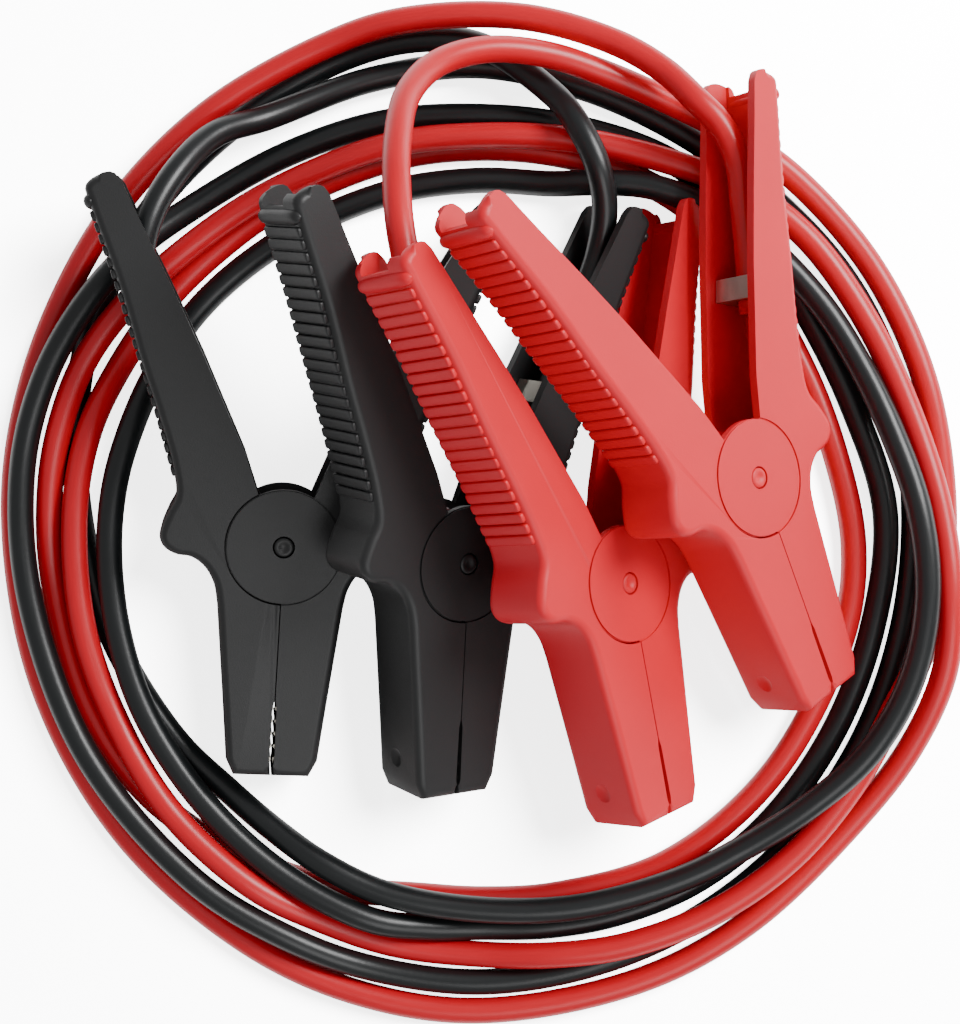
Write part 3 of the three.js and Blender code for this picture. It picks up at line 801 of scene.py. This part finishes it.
class JumpLeadSettings(bpy.types.PropertyGroup):
    """Sizes and colours that a user would change."""

    cable_diameter: bpy.props.FloatProperty(
        name="Cable diameter", description="Outside diameter of each cable", default=7.0 * MM, min=0.004,
        max=0.012, unit="LENGTH")
    rib_pitch: bpy.props.FloatProperty(
        name="Rib pitch", description="Distance between grip ribs in millimetres", default=2.95, min=1.5,
        max=6.0)
    edge_round: bpy.props.FloatProperty(
        name="Edge rounding", description="Radius of the clamps' outer edges in millimetres", default=2.2,
        min=0.5, max=2.35)
    rim_round: bpy.props.FloatProperty(
        name="Rim rounding", description="Radius of the clamps' inner rims in millimetres", default=0.35,
        min=0.1, max=0.8)
    black_plastic: bpy.props.FloatVectorProperty(
        name="Black plastic", description="Colour of the black clamps", subtype="COLOR", size=3,
        default=(0.0105, 0.0106, 0.011), min=0, max=1)
    red_plastic: bpy.props.FloatVectorProperty(
        name="Red plastic", description="Colour of the red clamps", subtype="COLOR", size=3,
        default=(0.64, 0.0025, 0.014), min=0, max=1)
    black_cable: bpy.props.FloatVectorProperty(
        name="Black cable", description="Colour of the black vinyl", subtype="COLOR", size=3,
        default=(0.006, 0.0072, 0.0078), min=0, max=1)
    red_cable: bpy.props.FloatVectorProperty(
        name="Red cable", description="Colour of the red vinyl", subtype="COLOR", size=3,
        default=(0.56, 0.0025, 0.011), min=0, max=1)


def settings():
    """The sizes and colours of this scene."""
    return bpy.context.scene.jump_leads


class LEADS_OT_camera_and_stage(bpy.types.Operator):
    """Camera at the photographed angle, pale floor and soft light"""

    bl_idname = "leads.camera_and_stage"
    bl_label = "Camera and stage"

    def execute(self, context):
        scene = context.scene
        centre = Vector((-CLAMP_MIDDLE[0], -CLAMP_MIDDLE[1], 0)) * MM
        lens = bpy.data.cameras.new("Camera")
        lens.sensor_fit = "VERTICAL"
        lens.sensor_height = 24.0
        lens.lens = lens.sensor_height * CAMERA_HEIGHT / VIEW_HEIGHT
        lens.clip_start = 0.02
        camera = bpy.data.objects.new("Camera", lens)
        camera.location = centre + Vector((0, 0, CAMERA_HEIGHT))
        scene.collection.objects.link(camera)
        scene.camera = camera

        bm = bmesh.new()
        bmesh.ops.create_grid(bm, x_segments=1, y_segments=1, size=3.0)
        floor = finished_mesh("floor", bm)
        floor.location.z = -FLOOR_GAP
        paper = bpy.data.materials.new("Pale floor")
        paper.use_nodes = True
        shader = paper.node_tree.nodes["Principled BSDF"]
        shader.inputs["Roughness"].default_value = 0.9
        shader.inputs["Specular IOR Level"].default_value = 0.1
        nodes, links = paper.node_tree.nodes, paper.node_tree.links
        glow, both, path = (nodes.new(kind) for kind in
                            ("ShaderNodeEmission", "ShaderNodeAddShader", "ShaderNodeLightPath"))
        level = nodes.new("ShaderNodeMath")
        level.operation = "MULTIPLY"
        level.inputs[1].default_value = 4.0
        links.new(path.outputs["Is Camera Ray"], level.inputs[0])
        tone = nodes.new("ShaderNodeMix")
        tone.data_type = "RGBA"
        tone.inputs["A"].default_value = (0.25, 0.25, 0.25, 1)
        tone.inputs["B"].default_value = (0.93, 0.93, 0.935, 1)
        links.new(path.outputs["Is Camera Ray"], tone.inputs["Factor"])
        links.new(tone.outputs["Result"], shader.inputs["Base Color"])
        links.new(level.outputs[0], glow.inputs["Strength"])
        links.new(shader.outputs[0], both.inputs[0])
        links.new(glow.outputs[0], both.inputs[1])
        links.new(both.outputs[0], nodes["Material Output"].inputs["Surface"])
        floor.data.materials.append(paper)

        world = bpy.data.worlds.new("Soft room")
        world.use_nodes = True
        world.node_tree.nodes["Background"].inputs["Color"].default_value = (1, 1, 1, 1)
        world.node_tree.nodes["Background"].inputs["Strength"].default_value = 0.46
        scene.world = world
        only_floor = bpy.data.collections.new("Floor alone")
        only_floor.objects.link(floor)
        for name, at, size, power in (("key light", (0.62, 0.42, 0.62), 0.45, 10.5),
                                      ("fill light", (0.3, -0.5, 0.9), 0.6, 3.0),
                                      ("paper light", (0.5, 0.34, 0.8), 0.5, 110.0)):
            light = bpy.data.lights.new(name, "AREA")
            light.shape = "DISK"
            light.size = size
            light.energy = power
            lamp = bpy.data.objects.new(name, light)
            lamp.location = centre + Vector(at)
            lamp.rotation_euler = (centre - lamp.location).to_track_quat("-Z", "Y").to_euler()
            scene.collection.objects.link(lamp)
            if name == "paper light":
                lamp.light_linking.receiver_collection = only_floor
        return {"FINISHED"}


class LEADS_OT_cables(bpy.types.Operator):
    """The two coiled cables, from clamp to clamp"""

    bl_idname = "leads.cables"
    bl_label = "Cables"

    def execute(self, context):
        diameter = settings().cable_diameter
        for colour, route in (("black", black_route()), ("red", red_route())):
            line, length = smooth_line(route, CABLE_STEP)
            cable = tube(f"{colour}_cable_jacket", line, diameter / 2, CABLE_SIDES)
            dress(cable, f"{colour} vinyl")
            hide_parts(f"{colour}_cable")
            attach(cable, ROOT)
        return {"FINISHED"}


class LEADS_OT_clamp_halves(bpy.types.Operator):
    """The moulded halves of the four clamps, with their ribs and end lips"""

    bl_idname = "leads.clamp_halves"
    bl_label = "Clamp halves"

    def execute(self, context):
        moulds = {side: mould_half(side, settings().edge_round, settings().rim_round) for side in (-1, 1)}
        tree = rib_tree()
        for name in CLAMPS:
            matrix = clamp_matrix(name)
            key = plastic_of(name)
            for side, word in ((-1, "left"), (1, "right")):
                body = body_of_half(name, side)
                shell = placed_copy(f"{name}_{word}_shell", moulds[side], matrix)
                soften(shell, 34)
                dress(shell, key)
                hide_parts(f"{name}_{word}_half")
                bars = rib_mesh(tree, side, settings().rib_pitch, key)
                ribs = placed_copy(f"{name}_{word}_ribs", bars, matrix)
                lip = placed_copy(f"{name}_{word}_lip", tip_lip_mesh(side), matrix)
                dress(lip, key)
                for piece in (shell, ribs, lip):
                    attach(piece, body)
        return {"FINISHED"}


class LEADS_OT_metalwork(bpy.types.Operator):
    """Springs, pins, jaw plates and cable saddles"""

    bl_idname = "leads.metalwork"
    bl_label = "Springs, pins, jaws and saddles"

    def execute(self, context):
        for name in CLAMPS:
            matrix = clamp_matrix(name)
            line, _ = smooth_line([matrix @ p for p in spring_line()], WIRE_STEP)
            wire = tube(f"{name}_spring_wire", line, WIRE_RADIUS * MM, 12)
            dress(wire, "spring steel")
            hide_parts(f"{name}_spring")
            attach(wire, ROOT)
            rivet = pivot_rivet(f"{name}_rivet")
            rivet.data.transform(matrix)
            dress(rivet, plastic_of(name))
            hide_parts(f"{name}_pin")
            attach(rivet, ROOT)
            for piece in ("left_jaw", "right_jaw", "saddle"):
                dress(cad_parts[f"{name}_{piece}"], "jaw metal")
        return {"FINISHED"}


class LEADS_PT_panel(bpy.types.Panel):
    """Sidebar panel with the sizes, the colours and one button for each group of pieces"""

    bl_label = "Jump Leads"
    bl_idname = "LEADS_PT_panel"
    bl_space_type = "VIEW_3D"
    bl_region_type = "UI"
    bl_category = "Jump Leads"

    def draw(self, context):
        for name in JumpLeadSettings.__annotations__:
            self.layout.prop(context.scene.jump_leads, name)
        for operator in OPERATORS:
            self.layout.operator(operator.bl_idname)


OPERATORS = (LEADS_OT_camera_and_stage, LEADS_OT_cables, LEADS_OT_clamp_halves, LEADS_OT_metalwork)
CLASSES = (JumpLeadSettings,) + OPERATORS + (LEADS_PT_panel,)


def register():
    for item in CLASSES:
        bpy.utils.register_class(item)
    bpy.types.Scene.jump_leads = bpy.props.PointerProperty(type=JumpLeadSettings)


def unregister():
    del bpy.types.Scene.jump_leads
    for item in reversed(CLASSES):
        bpy.utils.unregister_class(item)


def main():
    register()
    make_materials(settings())
    bpy.ops.leads.camera_and_stage()
    bpy.ops.leads.cables()
    bpy.ops.leads.clamp_halves()
    bpy.ops.leads.metalwork()


if __name__ == "__main__":
    main()
